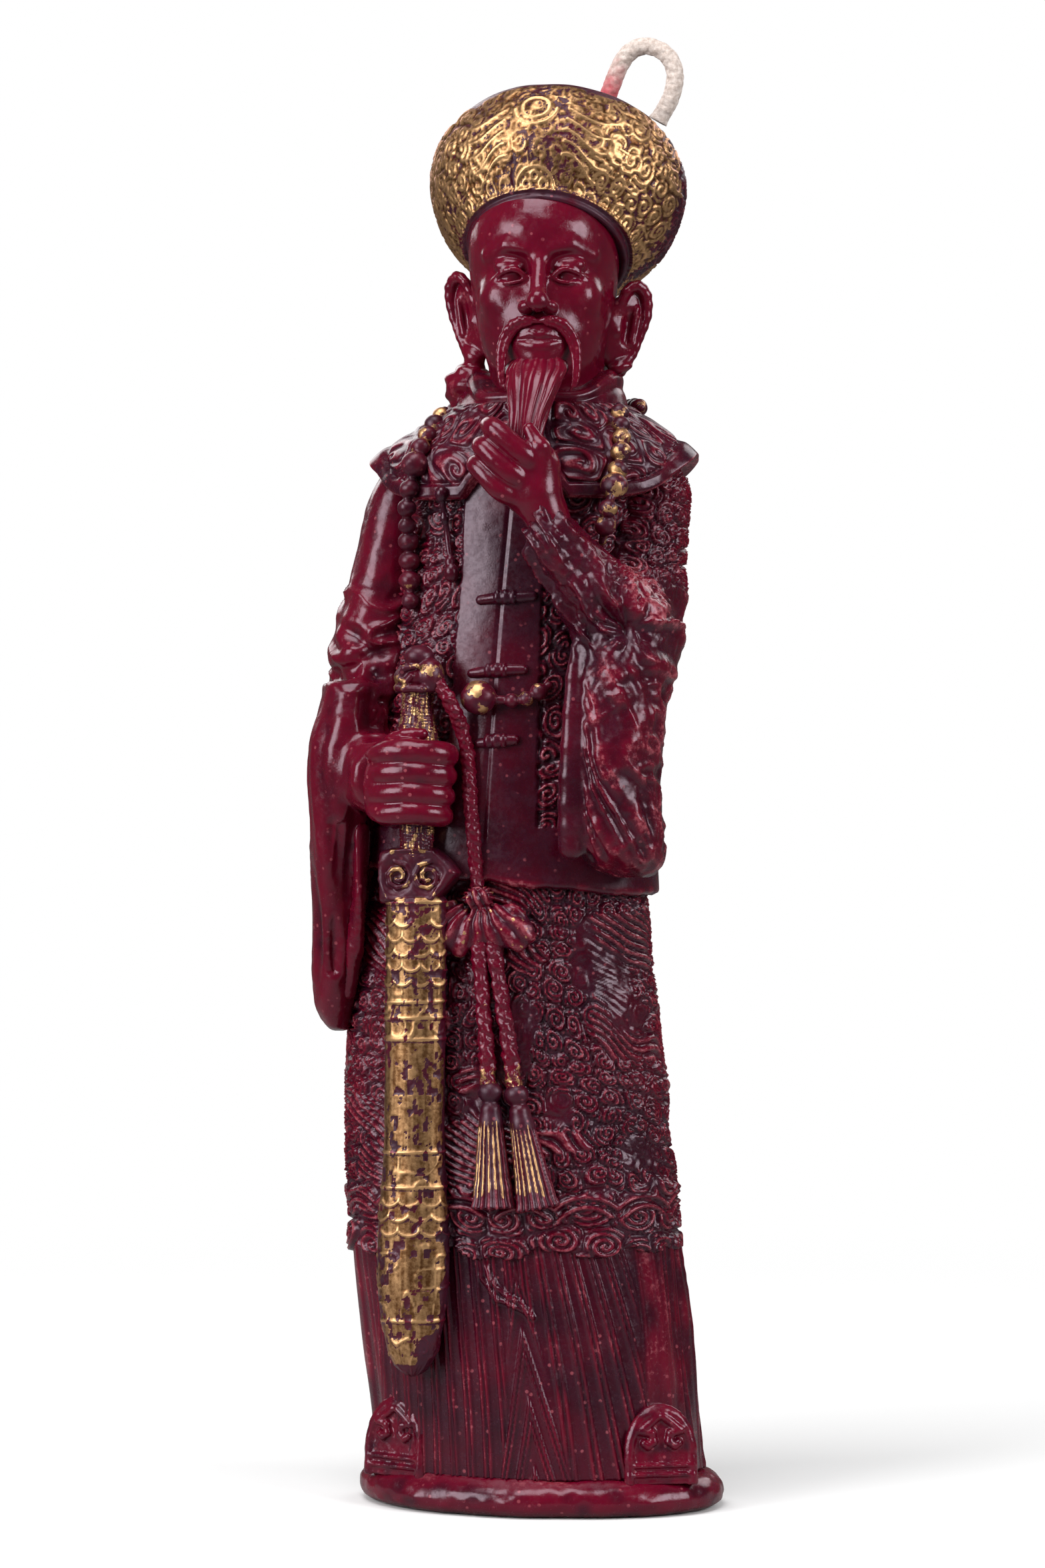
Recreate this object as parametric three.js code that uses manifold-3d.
// A figural candle: a robed court official with a sword, cast in wax round a cotton wick.
//
// Millimetres. +Z is up, -Y is the figure's front and +X is the figure's left-hand side.
// The origin is the middle of the oval plinth's underside.
//
// The wax is one casting. It is divided here into named regions, each a closed solid, that lie
// face to face with a small gap. Inner regions are made first, and an outer one is cut away where
// it meets them, so every function below takes `grow`: the distance by which its shape is enlarged
// when it is used to cut its neighbours.

import * as THREE from "three";
import { mergeVertices } from "three/addons/utils/BufferGeometryUtils.js";
import Module from "manifold-3d";

const wasm = await Module();
wasm.setup();

// ---- driving dimensions ------------------------------------------------------------------

const GAP = 0.3; // clearance between neighbouring regions
const TIDY = 0.06; // details finer than this are merged away after a cut

const PLINTH = { a: 33.5, b: 22, height: 6.6, edge: 3.1 }; // half width, half depth
const HEM_TOP = 48; // where the striped hem ends and the brocade skirt begins
const JACKET_HEM = 111.5;
const WICK = { radius: 1.5, foot: [-6, 2, 0.3], exit: [7, 8, 238.6] };

// Level sections, each an oval: height, middle x, half width, half depth.
const SKIRT = [
  [PLINTH.height, -0.6, 29.8, 18.8],
  [16, -1.4, 29.6, 18.8],
  [32, -3.1, 29.9, 18.6],
  [HEM_TOP, -4.9, 29.8, 18.4],
  [64, -6.1, 29.6, 18.1],
  [80, -6.8, 28.9, 17.8],
  [96, -7.2, 27.6, 17.4],
  [JACKET_HEM, -7.2, 26.4, 17.0],
];
const JACKET = [
  [JACKET_HEM, -7.0, 28.0, 18.6],
  [130, -6.0, 26.6, 18.3],
  [150, -4.6, 25.0, 17.8],
  [170, -3.0, 24.0, 17.0],
  [184, -1.8, 24.5, 15.4],
  [193, -0.6, 19.0, 13.0],
];
const CAPE = [
  [180, -1.4, 28.4, 18.0],
  [184.5, -1.4, 28.8, 17.8],
  [189, -1.3, 27.0, 17.0],
  [193, -0.8, 22.4, 15.8],
  [197.4, 0, 16.6, 14.6],
];

const HEAD = { middle: [0.9, -2, 217.5], radii: [13, 14.2, 18.5] };
const NECK = { x: 1.6, y: 1.4, radius: 10.6, from: 193.3, to: 208 };
const EAR = { radii: [2.4, 4.2, 8], outward: 14.4, y: 1.5, z: 213.5 };

// The hat leans back about X; its own heights run along its axis from the middle of its opening.
const HAT = { foot: [1.55, -2.2, 225.2], lean: 38, height: 20.3, mouth: 15.2, rim: 23.3, wall: 2.6 };
const CROWN = { from: 3, shoulder: 13.5, top: 16.6 };

const SWORD = { top: [-17.8, -21.4, 151], tip: [-19.4, -19.2, 24.5] };
const SCABBARD = { a: 5.2, b: 3.4, from: 109.4, to: 33 };

const BEAD_RADIUS = 1.75;

// ---- materials ---------------------------------------------------------------------------

const material = (color, roughness, metalness) =>
  new THREE.MeshStandardMaterial({ color, roughness, metalness });
const WAX = material("#5c0d1f", 0.38, 0);
const GILT_WAX = material("#9a7430", 0.42, 0.8);
const COTTON = material("#e6d3c4", 0.95, 0);

// ---- making, cutting and joining solids ----------------------------------------------------

// A three.js geometry as a manifold-3d solid. Triangles that merging has collapsed are left out.
function solidOf(geometry) {
  const bare = geometry.clone();
  bare.deleteAttribute("normal");
  bare.deleteAttribute("uv");
  const merged = mergeVertices(bare, 1e-4);
  const index = merged.index.array;
  const kept = [];
  for (let i = 0; i < index.length; i += 3) {
    const [a, b, c] = [index[i], index[i + 1], index[i + 2]];
    if (a !== b && b !== c && c !== a) kept.push(a, b, c);
  }
  return new wasm.Manifold(
    new wasm.Mesh({
      numProp: 3,
      vertProperties: merged.attributes.position.array,
      triVerts: new Uint32Array(kept),
    }),
  );
}

function geometryOf(solid) {
  const { numProp, numVert, vertProperties, triVerts } = solid.getMesh();
  const positions = new Float32Array(numVert * 3);
  for (let i = 0; i < numVert; i++) {
    positions.set(vertProperties.subarray(i * numProp, i * numProp + 3), i * 3);
  }
  const geometry = new THREE.BufferGeometry();
  geometry.setAttribute("position", new THREE.BufferAttribute(positions, 3));
  geometry.setIndex(new THREE.BufferAttribute(triVerts, 1));
  geometry.computeVertexNormals();
  return geometry;
}

const join = (...solids) => solids.reduce((whole, one) => whole.add(one));

const largest = (solid) =>
  solid.decompose().reduce((best, one) => (one.volume() > best.volume() ? one : best));

const figure = new THREE.Group();
const shapes = new Map();

// Adds a region made by make(grow), cut back from the named neighbours, which come before it.
function addRegion(name, look, make, neighbours = []) {
  let solid = make(0);
  for (const neighbour of neighbours) solid = solid.subtract(shapes.get(neighbour)(GAP));
  shapes.set(name, make);
  const mesh = new THREE.Mesh(geometryOf(largest(solid).simplify(TIDY)), look);
  mesh.name = name;
  figure.add(mesh);
}

// ---- basic shapes --------------------------------------------------------------------------

// The table's row at height z, each column smoothed between the two rows around it.
function sectionAt(table, z) {
  const last = table.length - 1;
  let i = 0;
  while (i < last - 1 && z > table[i + 1][0]) i++;
  const [low, high] = [table[i], table[i + 1]];
  const t = THREE.MathUtils.clamp((z - low[0]) / (high[0] - low[0]), 0, 1);
  return low.map((value, column) => THREE.MathUtils.lerp(value, high[column], t));
}

// A solid whose level sections are ovals. Rows: height, middle x, middle y, half width, half depth.
function ovalLoft(rows, grow = 0, around = 24) {
  const rings = rows.length - 1;
  const geometry = new THREE.CylinderGeometry(1, 1, 1, around, rings);
  const position = geometry.attributes.position;
  for (let i = 0; i < position.count; i++) {
    const ring = Math.round((position.getY(i) + 0.5) * rings);
    const [z, x, y, a, b] = rows[ring];
    const end = ring === 0 ? -grow : ring === rings ? grow : 0;
    position.setXYZ(
      i,
      x + (a + grow) * position.getX(i),
      y - (b + grow) * position.getZ(i),
      z + end,
    );
  }
  return solidOf(geometry);
}

// The rows of a robe table, for ovalLoft, with one row about every `step` mm.
function robeRows(table, from, to, step) {
  const count = Math.max(1, Math.round((to - from) / step));
  return Array.from({ length: count + 1 }, (_, i) => {
    const z = THREE.MathUtils.lerp(from, to, i / count);
    const [, x, a, b] = sectionAt(table, z);
    return [z, x, 0, a, b];
  });
}

function ellipsoid([x, y, z], [rx, ry, rz], grow = 0, turn = [0, 0, 0], around = 12) {
  const geometry = new THREE.SphereGeometry(1, around, Math.round(around * 0.7));
  geometry.rotateX(Math.PI / 2);
  geometry.scale(rx + grow, ry + grow, rz + grow);
  const [tx, ty, tz] = turn.map(THREE.MathUtils.degToRad);
  geometry.applyMatrix4(new THREE.Matrix4().makeRotationFromEuler(new THREE.Euler(tx, ty, tz)));
  geometry.translate(x, y, z);
  return solidOf(geometry);
}

// A round solid about the hat's axis, from [radius, height along the axis] points.
function lathe(profile, { foot, lean }, around = 24) {
  const geometry = new THREE.LatheGeometry(
    profile.map(([r, s]) => new THREE.Vector2(r, s)),
    around,
  );
  geometry.rotateX(Math.PI / 2);
  geometry.rotateX(THREE.MathUtils.degToRad(-lean));
  geometry.translate(...foot);
  return solidOf(geometry);
}

// A round bar through the points, with flat ends.
function bar(points, radius, steps, sides = 8) {
  const path = new THREE.CatmullRomCurve3(points.map((p) => new THREE.Vector3(...p)));
  const section = new THREE.Shape();
  for (let i = 0; i < sides; i++) {
    const angle = (2 * Math.PI * i) / sides;
    section[i ? "lineTo" : "moveTo"](radius * Math.cos(angle), radius * Math.sin(angle));
  }
  return solidOf(
    new THREE.ExtrudeGeometry(section, { steps, bevelEnabled: false, extrudePath: path }),
  );
}

// A straight round bar that may taper, from one point to another.
function rod(from, to, [r1, r2], grow = 0, sides = 12) {
  const [a, b] = [new THREE.Vector3(...from), new THREE.Vector3(...to)];
  const along = b.clone().sub(a);
  const length = along.length();
  const geometry = new THREE.CylinderGeometry(r2 + grow, r1 + grow, length + 2 * grow, sides);
  geometry.translate(0, length / 2, 0);
  const up = new THREE.Vector3(0, 1, 0);
  geometry.applyQuaternion(new THREE.Quaternion().setFromUnitVectors(up, along.normalize()));
  geometry.translate(...from);
  return solidOf(geometry);
}

// A point at x, z that lies `lift` mm in front of the front surface of the clothes.
function onFront(x, z, lift = 0) {
  const table = [SKIRT, JACKET, CAPE].findLast((rows) => z > rows[0][0]);
  const [, middle, a, b] = sectionAt(table, z);
  const across = Math.min(Math.abs(x - middle) / a, 0.98);
  return [x, -b * Math.sqrt(1 - across * across) - lift, z];
}

// A point on the sword's axis at height z.
function onSword(z) {
  const t = (SWORD.top[2] - z) / (SWORD.top[2] - SWORD.tip[2]);
  return SWORD.top.map((value, i) => THREE.MathUtils.lerp(value, SWORD.tip[i], t));
}

// ---- wick ----------------------------------------------------------------------------------

// Its bore runs on past both of its ends, so that it always opens.
function wickCore(grow) {
  const along = WICK.exit.map((value, i) => (value - WICK.foot[i]) / WICK.exit[2]);
  const from = WICK.foot.map((value, i) => value - 10 * grow * along[i]);
  const to = WICK.exit.map((value, i) => value + 30 * grow * along[i]);
  return rod(from, to, [WICK.radius, WICK.radius], grow);
}

// The free end rises out of the crown and curls over to the figure's left.
const WICK_LOOP = [
  [7.05, 8, 238.95],
  [7.9, 8.2, 245],
  [9.6, 8.4, 251],
  [11.5, 8.4, 257],
  [14.1, 8.2, 262],
  [17.6, 8, 263.6],
  [21.4, 8, 262],
  [23.1, 8, 258.4],
  [22.3, 8, 254],
  [19.9, 8, 249.8],
];
const wickFreeEnd = () => bar(WICK_LOOP, WICK.radius, 22);

// ---- plinth, shoes and robe ------------------------------------------------------------------

function plinth(grow) {
  const { a, b, height, edge } = PLINTH;
  const rows = [
    [0, 0, 0, a - 2.2, b - 2.2],
    [1.1, 0, 0, a - 0.6, b - 0.6],
    [edge, 0, 0, a, b],
    [height - 1.4, 0, 0, a - 0.7, b - 0.7],
    [height - 0.3, 0, 0, a - 2.4, b - 2.4],
  ];
  return ovalLoft(rows, grow, 36);
}

const robeHem = (grow) => ovalLoft(robeRows(SKIRT, PLINTH.height, HEM_TOP - GAP, 14), grow, 28);
const robeSkirt = (grow) => ovalLoft(robeRows(SKIRT, HEM_TOP, JACKET_HEM - GAP, 16), grow, 28);
const jacket = (grow) => ovalLoft(robeRows(JACKET, JACKET_HEM, 193, 9), grow, 28);

// An arched shoe tip that looks out from under the hem. side is -1 or 1 along X.
const shoeTip = (side) => (grow) =>
  ovalLoft(
    [
      [PLINTH.height, side * 23.4, -9.6, 6.2, 5.2],
      [10.5, side * 23.6 - 0.3, -9.6, 6.6, 5.6],
      [14.5, side * 23.6 - 0.7, -9.4, 6.0, 5.2],
      [17.6, side * 23.4 - 1, -8.8, 4.0, 3.8],
    ],
    grow,
    16,
  );

// ---- head and hat ----------------------------------------------------------------------------

function head(grow) {
  const [below, above] = [NECK.from, NECK.to].map((level) => [NECK.x, NECK.y, level]);
  const neck = rod(below, above, [NECK.radius, NECK.radius], grow, 20);
  const [x, y, z] = HEAD.middle;
  const nose = ellipsoid([x, y - 13.6, z - 2], [1.9, 2.8, 4], grow, [-14, 0, 0], 8);
  return join(ellipsoid(HEAD.middle, HEAD.radii, grow, [0, 0, 0], 20), neck, nose);
}

const ear = (side) => (grow) =>
  ellipsoid([HEAD.middle[0] + side * EAR.outward, EAR.y, EAR.z], EAR.radii, grow, [-8, 0, 0]);

const hatCrown = (grow) => {
  const r = (s) => THREE.MathUtils.lerp(HAT.mouth, HAT.rim, s / HAT.height) - HAT.wall;
  return lathe(
    [
      [0, CROWN.from - grow],
      [r(CROWN.from) + grow, CROWN.from - grow],
      [r(CROWN.shoulder) + grow, CROWN.shoulder + grow],
      [r(CROWN.shoulder) * 0.6, CROWN.top - 0.9 + grow],
      [0, CROWN.top + grow],
    ],
    HAT,
  );
};

const hatBrim = (grow) => {
  const { height, mouth, rim, wall } = HAT;
  return lathe(
    [
      [mouth - wall - grow, -grow],
      [mouth + grow, -grow],
      [mouth + 4.6 + grow, 6],
      [rim - 0.6 + grow, 13],
      [rim + grow, 17.5],
      [rim - 0.7 + grow, height + grow],
      [rim - wall + 0.2 - grow, height + grow],
      [rim - wall - 1.4 - grow, 14],
      [mouth - wall - grow, -grow],
    ],
    HAT,
  );
};

function moustache(grow) {
  const [x, y, z] = HEAD.middle;
  const route = [-5.6, -4.3, 0, 4.3, 5.6].map((dx) => {
    const droop = 0.22 * dx * dx;
    return [x + dx, y - 14.6 + 0.075 * dx * dx, z - 6.6 - droop];
  });
  return bar(route, 0.9 + grow, 10, 6);
}

function beard(grow) {
  return ovalLoft(
    [
      [184, 1.4, -24.6, 1.8, 1.7],
      [190, 1.8, -23.4, 2.7, 2.3],
      [196, 1.9, -20.6, 3.6, 2.9],
      [201, 1.4, -17.4, 4.9, 3.6],
      [205.5, 1.0, -13.6, 5.6, 3.6],
    ],
    grow,
    14,
  );
}

// ---- collar, cape and sleeves ------------------------------------------------------------------

const standingCollar = (grow) =>
  ovalLoft(
    [
      [193.3, 0, 0.6, 15.0, 13.8],
      [197, 0.4, 0.8, 14.8, 13.6],
      [200.6, 1, 1, 13.6, 12.8],
    ],
    grow,
  );

// How far the cape's edge is above its lowest level, at an angle from the front: it parts at the
// throat and rises to a point over each shoulder.
function capeEdge(angle) {
  const turn = Math.abs(angle) / Math.PI;
  const throat = 13 * Math.max(0, 1 - turn / 0.12);
  const shoulder = 8 * Math.exp(-(((turn - 0.5) / 0.16) ** 2));
  return throat + shoulder;
}

function cape(grow) {
  const rings = CAPE.length - 1;
  const geometry = new THREE.CylinderGeometry(1, 1, 1, 36, rings);
  const position = geometry.attributes.position;
  for (let i = 0; i < position.count; i++) {
    const [cx, cz] = [position.getX(i), position.getZ(i)];
    const t = position.getY(i) + 0.5;
    const rise = cx || cz ? capeEdge(Math.atan2(cx, cz)) : 6;
    const z = CAPE[0][0] + rise + t * (CAPE[rings][0] - CAPE[0][0] - rise);
    const [, x, a, b] = sectionAt(CAPE, z);
    const flare = 1 + 0.016 * rise * (1 - t) * Math.abs(cx);
    const end = t === 0 ? -grow : t === 1 ? grow : 0;
    position.setXYZ(i, x + (a * flare + grow) * cx, -(b + grow) * cz, z + end);
  }
  return solidOf(geometry);
}

const rightUpperSleeve = (grow) =>
  ovalLoft(
    [
      [148, -30.6, -3, 7.8, 11],
      [160, -29.4, -1.6, 7.4, 10.2],
      [172, -27.2, -0.6, 7, 9.2],
      [180, -25.4, 0, 6.6, 8.4],
    ],
    grow,
    18,
  );

const rightHangingSleeve = (grow) =>
  ovalLoft(
    [
      [86, -35.6, -5, 2.0, 3.4],
      [90, -36.2, -5, 3.9, 6.6],
      [104, -35.6, -5.4, 4.9, 9.2],
      [120, -34.4, -7, 5.8, 11.4],
      [136, -33, -8, 7.2, 12.6],
      [147.7, -31, -6, 7.6, 11.6],
    ],
    grow,
    18,
  );

const leftUpperSleeve = (grow) =>
  ovalLoft(
    [
      [160, 17.6, -3, 8.2, 11.6],
      [168, 18.2, -2, 8, 10.4],
      [175, 19.2, -1, 7.4, 9.2],
      [180, 19.8, 0, 6.8, 8.4],
    ],
    grow,
    18,
  );

const leftForearmSleeve = (grow) =>
  join(
    rod([17.6, -12, 155], [5.2, -22.6, 173.4], [8.2, 5.4], grow, 14),
    ellipsoid([17.6, -12, 155], [8.2, 8.2, 8.2], grow, [0, 0, 0], 14),
  );

const leftHangingSleeve = (grow) =>
  ovalLoft(
    [
      [113.4, 18.6, -14.8, 5.4, 4.4],
      [117, 17.2, -15.6, 7.6, 7],
      [124, 16.2, -16, 8.2, 8.6],
      [140, 16, -15.4, 8.6, 9.6],
      [152, 16.6, -13.4, 9, 9.8],
      [159.7, 17, -11, 8.6, 9.4],
    ],
    grow,
    18,
  );

// ---- hands -------------------------------------------------------------------------------------

// A rounded finger that bends through the points.
function finger(points, radius, grow) {
  const r = radius + grow;
  return join(bar(points, r, 3, 6), ellipsoid(points.at(-1), [r, r, r], 0, [0, 0, 0], 6));
}

// The right hand closes round the sword's grip from the figure's right.
function rightHand(grow) {
  const [x, y, z] = onSword(129.3);
  const palm = ellipsoid([x - 5.4, y + 1.6, z], [5.6, 5.6, 7.2], grow, [0, 0, 0], 14);
  const fingers = [5.1, 1.75, -1.65, -4.9].map((up, i) =>
    finger(
      [
        [x - 6.6, y - 2.6, z + up],
        [x - 0.6, y - 4.9, z + up - 0.2],
        [x + 4.9 - 0.3 * i, y - 1.6, z + up - 0.3],
      ],
      1.9,
      grow,
    ),
  );
  return join(palm, ...fingers);
}

// The left hand closes round the beard from below, with its wrist in the sleeve.
function leftHand(grow) {
  const palm = ellipsoid([1.6, -23.4, 184.2], [5.6, 4.6, 5.8], grow, [0, 30, 0], 14);
  const wrist = rod([2.4, -23.4, 183], [7, -21.6, 171.6], [4, 3.6], grow);
  const fingers = [0, 1, 2].map((i) =>
    finger(
      [
        [2.6 - 2.6 * i, -27 + 0.3 * i, 189.2 - 2.2 * i],
        [-1.4 - 1.9 * i, -26.6 + 0.8 * i, 191.4 - 3.2 * i],
        [-4.4 - 0.6 * i, -23.4, 190.6 - 3.2 * i],
      ],
      1.55,
      grow,
    ),
  );
  return join(palm, wrist, ...fingers);
}

// ---- sword ---------------------------------------------------------------------------------------

const swordPommel = (grow) =>
  join(
    ellipsoid(onSword(148.6), [4.2, 3.8, 2.9], grow, [0, 0, 0], 10),
    ellipsoid(onSword(151.6), [2.9, 2.9, 2.4], grow, [0, 0, 0], 8),
  );

const swordGrip = (grow) =>
  join(
    rod(onSword(132), onSword(145.4), [3.3, 2.5], grow),
    rod(onSword(118.4), onSword(132.1), [2.6, 3.3], grow),
  );

// The guard is a six-sided block, pointed towards the figure's left.
function swordGuard(grow) {
  const outline = [
    [-6.2, 2.6],
    [-3.6, 4.6],
    [3.4, 4.6],
    [6.9, 0.6],
    [3.6, -4],
    [-4.6, -4],
    [-6.6, -1],
  ];
  const shape = new THREE.Shape(
    outline.map(([x, z]) => new THREE.Vector2(x + Math.sign(x) * grow, z + Math.sign(z) * grow)),
  );
  const depth = 7.4 + 2 * grow;
  const geometry = new THREE.ExtrudeGeometry(shape, { depth, bevelEnabled: false });
  geometry.rotateX(Math.PI / 2);
  const [x, y, z] = onSword(113.9);
  geometry.translate(x, y + depth / 2 - 0.4, z);
  return solidOf(geometry);
}

const bladeRow = (z, a, b) => {
  const [x, y] = onSword(z);
  return [z, x, y, a, b];
};
const scabbard = (grow) =>
  ovalLoft(
    [
      bladeRow(SCABBARD.to, SCABBARD.a, SCABBARD.b),
      bladeRow(70, SCABBARD.a + 0.1, SCABBARD.b),
      bladeRow(SCABBARD.from, SCABBARD.a + 0.1, SCABBARD.b + 0.1),
    ],
    grow,
    20,
  );
const scabbardChape = (grow) =>
  ovalLoft(
    [
      bladeRow(SWORD.tip[2], 1.2, 1),
      bladeRow(26.4, 3.4, 2.4),
      bladeRow(29.2, 4.8, 3.1),
      bladeRow(SCABBARD.to - GAP, SCABBARD.a + 0.2, SCABBARD.b + 0.1),
    ],
    grow,
    20,
  );

// ---- sword knot ------------------------------------------------------------------------------------

const knotCord = (grow) =>
  bar(
    [
      [-13.9, -22.6, 147.6],
      [-11.6, -21.6, 143.4],
      onFront(-9.4, 136, 1.5),
      onFront(-8.4, 124, 1.5),
      onFront(-7.6, 113.4, 1.6),
    ],
    1.3 + grow,
    18,
  );

function knotBow(grow) {
  const [x, y, z] = onFront(-7.3, 109.4, 2.2);
  return join(
    ellipsoid([x, y, z], [3.2, 2.4, 2.9], grow, [0, 0, 0], 8),
    ellipsoid([x - 4.4, y + 0.6, z - 4.8], [3.6, 2.1, 4.7], grow, [0, -28, 0], 8),
    ellipsoid([x + 5.4, y + 0.4, z - 4.6], [4.6, 2.1, 3.4], grow, [0, 30, 0], 8),
    ellipsoid([x + 0.6, y + 0.4, z - 5.6], [2.6, 1.9, 4.6], grow, [0, 0, 0], 8),
  );
}

const TAILS = {
  right: { from: [-7.4, 98.6], to: [-4.9, 75.2] },
  left: { from: [-4.9, 98.6], to: [-0.2, 75.6] },
};
const knotTail =
  ({ from, to }) =>
  (grow) =>
    join(
      bar(
        [
          onFront(...from, 1.3),
          onFront((from[0] + to[0]) / 2, (from[1] + to[1]) / 2, 1.3),
          onFront(...to, 1.3),
        ],
        1.2 + grow,
        6,
        6,
      ),
      ellipsoid(onFront(...to, 1.2), [2, 2, 2.1], grow, [0, 0, 0], 8),
    );

const tassel =
  (top, bottom) =>
  (grow) => {
    return rod(onFront(...bottom, 1.4), onFront(...top, 1.2), [3.1, 1.9], grow);
  };

// ---- necklace ----------------------------------------------------------------------------------------

// A row of touching beads along the points, with one larger bead `big` of the way along it.
const strand = (points, big) => (grow) => {
  const curve = new THREE.CatmullRomCurve3(points.map((p) => new THREE.Vector3(...p)));
  const count = Math.round(curve.getLength() / (1.6 * BEAD_RADIUS));
  const beads = Array.from({ length: count }, (_, i) => {
    const t = (i + 0.5) / count;
    const r = BEAD_RADIUS + 0.75 * Math.exp(-2 * ((t - big) * count) ** 2);
    return ellipsoid(curve.getPointAt(t).toArray(), [r, r, r], grow, [0, 0, 0], 6);
  });
  return join(...beads);
};

const strandRight = strand(
  [
    onFront(-16.8, 195.6, 0.6),
    onFront(-19.2, 190, 0.6),
    onFront(-20.6, 184, 0.8),
    onFront(-21.4, 178.4, 2.2),
    onFront(-21.6, 170, 1.4),
    onFront(-21.2, 161.4, 1.2),
  ],
  0.32,
);
const strandLeft = strand(
  [
    onFront(15.6, 196, 0.6),
    onFront(17.2, 190, 0.6),
    onFront(16.8, 184, 0.8),
    onFront(16, 178.4, 4.4),
    onFront(14.4, 172.4, 4.4),
  ],
  0.62,
);
const strandBottom = strand(
  [onFront(-7.4, 146.4, 1.2), onFront(-4, 144.6, 1.3), onFront(0.8, 144.4, 1.2), onFront(5, 147, 1)],
  0.16,
);
const strandNape = strand(
  [
    [-17.6, 3, 196.8],
    [-12.6, 11.6, 197.6],
    [0, 16.6, 198.2],
    [12.8, 12, 197.8],
    [17.8, 3, 196.8],
  ],
  5,
);

const countingString =
  (top, bottom) =>
  (grow) =>
    join(
      rod(onFront(...bottom, 0.9), onFront(...top, 0.9), [0.6, 0.6], grow, 6),
      ellipsoid(onFront(...top, 1), [1.2, 1.2, 1.5], grow, [0, 0, 0], 6),
      ellipsoid(onFront(...bottom, 1), [1.2, 1.1, 1.9], grow, [0, 0, 0], 6),
    );

// ---- closures ------------------------------------------------------------------------------------------

// A corded toggle across the jacket's front opening.
const frogButton = (x, z) => (grow) =>
  join(
    ellipsoid(onFront(x, z, 0.3), [4.6, 1.1, 1.25], grow, [0, 0, 0], 8),
    ellipsoid(onFront(x, z, 0.9), [1.3, 1.2, 1.4], grow, [0, 0, 0], 6),
  );

// ---- the assembly ----------------------------------------------------------------------------------------

const CORE = ["robe_skirt", "jacket"];

addRegion("wick_core", COTTON, wickCore);
addRegion("plinth", WAX, plinth, ["wick_core"]);
addRegion("robe_hem", WAX, robeHem, ["wick_core"]);
addRegion("robe_skirt", WAX, robeSkirt, ["wick_core"]);
addRegion("jacket", WAX, jacket, ["wick_core"]);
addRegion("shoe_tip_right", WAX, shoeTip(-1), ["robe_hem"]);
addRegion("shoe_tip_left", WAX, shoeTip(1), ["robe_hem"]);

addRegion("hat_crown", WAX, hatCrown, ["wick_core"]);
addRegion("hat_brim", GILT_WAX, hatBrim, ["wick_core", "hat_crown"]);
addRegion("head", WAX, head, ["wick_core", "jacket", "hat_crown", "hat_brim"]);
addRegion("ear_right", WAX, ear(-1), ["head", "hat_brim"]);
addRegion("ear_left", WAX, ear(1), ["head", "hat_brim"]);
addRegion("moustache", WAX, moustache, ["head"]);
addRegion("beard", WAX, beard, ["head", "moustache"]);
addRegion("standing_collar", WAX, standingCollar, ["wick_core", "head", "beard"]);

addRegion("upper_sleeve_right", WAX, rightUpperSleeve, ["jacket"]);
addRegion("hanging_sleeve_right", WAX, rightHangingSleeve, CORE);
addRegion("upper_sleeve_left", WAX, leftUpperSleeve, ["jacket"]);
addRegion("hanging_sleeve_left", WAX, leftHangingSleeve, ["jacket"]);
addRegion("forearm_sleeve_left", WAX, leftForearmSleeve, [
  "jacket",
  "upper_sleeve_left",
  "hanging_sleeve_left",
]);
addRegion("cape_collar", WAX, cape, [
  "wick_core",
  "jacket",
  "standing_collar",
  "head",
  "beard",
  "upper_sleeve_right",
  "upper_sleeve_left",
  "forearm_sleeve_left",
]);

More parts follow.
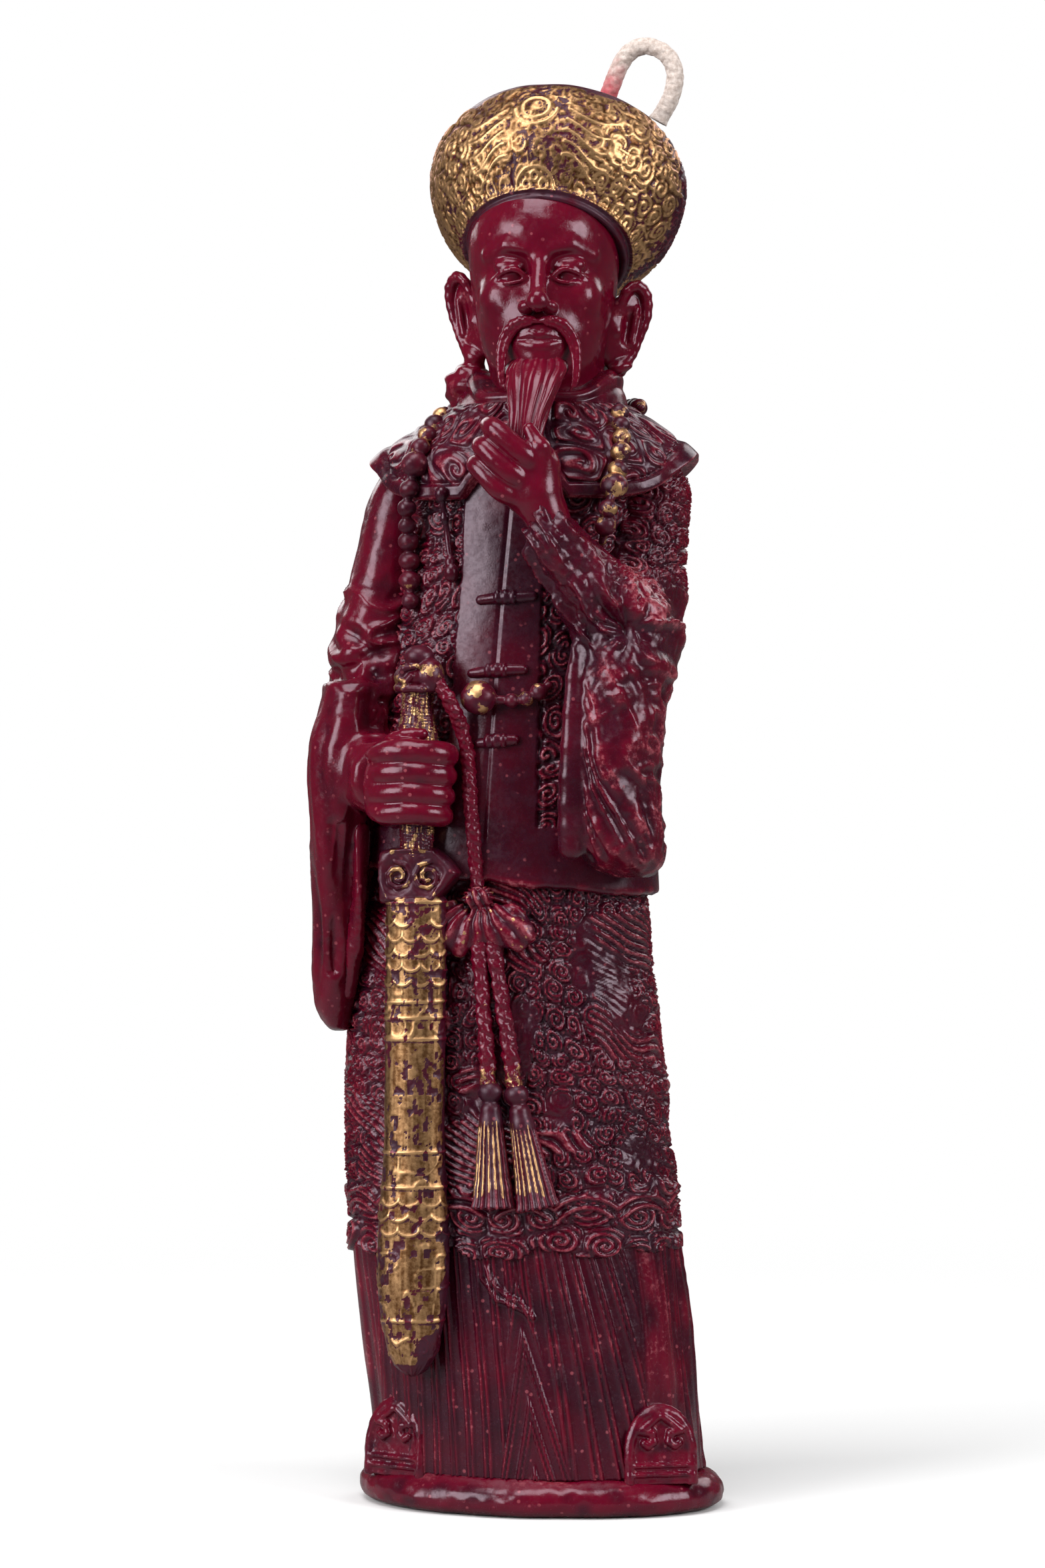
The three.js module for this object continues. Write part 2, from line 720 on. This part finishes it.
addRegion("sword_grip", GILT_WAX, swordGrip, CORE);
addRegion("sword_pommel", GILT_WAX, swordPommel, ["jacket", "sword_grip"]);
addRegion("sword_guard", WAX, swordGuard, [...CORE, "sword_grip"]);
addRegion("scabbard", GILT_WAX, scabbard, ["robe_hem", "robe_skirt", "sword_guard"]);
addRegion("scabbard_chape", GILT_WAX, scabbardChape, ["robe_hem", "shoe_tip_right"]);
addRegion("hand_right", WAX, rightHand, [...CORE, "sword_grip", "sword_guard", "hanging_sleeve_right"]);
addRegion("hand_left", WAX, leftHand, ["jacket", "beard", "cape_collar", "forearm_sleeve_left"]);

addRegion("sword_knot_cord", WAX, knotCord, ["jacket", "sword_pommel", "hand_right"]);
addRegion("sword_knot_bow", WAX, knotBow, [...CORE, "sword_guard", "sword_knot_cord", "scabbard"]);
addRegion("sword_knot_tail_right", WAX, knotTail(TAILS.right), ["robe_skirt", "sword_knot_bow"]);
addRegion("sword_knot_tail_left", WAX, knotTail(TAILS.left), [
  "robe_skirt",
  "sword_knot_bow",
  "sword_knot_tail_right",
]);
addRegion("tassel_right", GILT_WAX, tassel([-4.8, 73], [-4.2, 56.8]), [
  "robe_skirt",
  "sword_knot_tail_right",
]);
addRegion("tassel_left", GILT_WAX, tassel([0.2, 73], [3.6, 57.4]), [
  "robe_skirt",
  "sword_knot_tail_left",
  "tassel_right",
]);

addRegion("necklace_nape", GILT_WAX, strandNape, ["cape_collar", "standing_collar", "head", "ear_right", "ear_left"]);
addRegion("necklace_right", GILT_WAX, strandRight, [
  "jacket",
  "head",
  "ear_right",
  "cape_collar",
  "standing_collar",
  "upper_sleeve_right",
  "necklace_nape",
]);
addRegion("necklace_left", GILT_WAX, strandLeft, [
  "jacket",
  "hanging_sleeve_left",
  "head",
  "cape_collar",
  "standing_collar",
  "upper_sleeve_left",
  "forearm_sleeve_left",
  "necklace_nape",
]);
addRegion("necklace_bottom", GILT_WAX, strandBottom, ["jacket", "hanging_sleeve_left", "sword_knot_cord"]);
addRegion("counting_string_right", WAX, countingString([-14.6, 179.6], [-12.6, 168.4]), [
  "jacket",
  "cape_collar",
  "necklace_right",
]);

addRegion("frog_button_upper", WAX, frogButton(-2.6, 162.4), ["jacket"]);
addRegion("frog_button_middle", WAX, frogButton(-4.2, 149.6), ["jacket"]);
addRegion("frog_button_lower", WAX, frogButton(-4.2, 136.8), ["jacket", "sword_knot_cord"]);

const freeEnd = new THREE.Mesh(geometryOf(wickFreeEnd()), COTTON);
freeEnd.name = "wick_free_end";
figure.add(freeEnd);

export default figure;
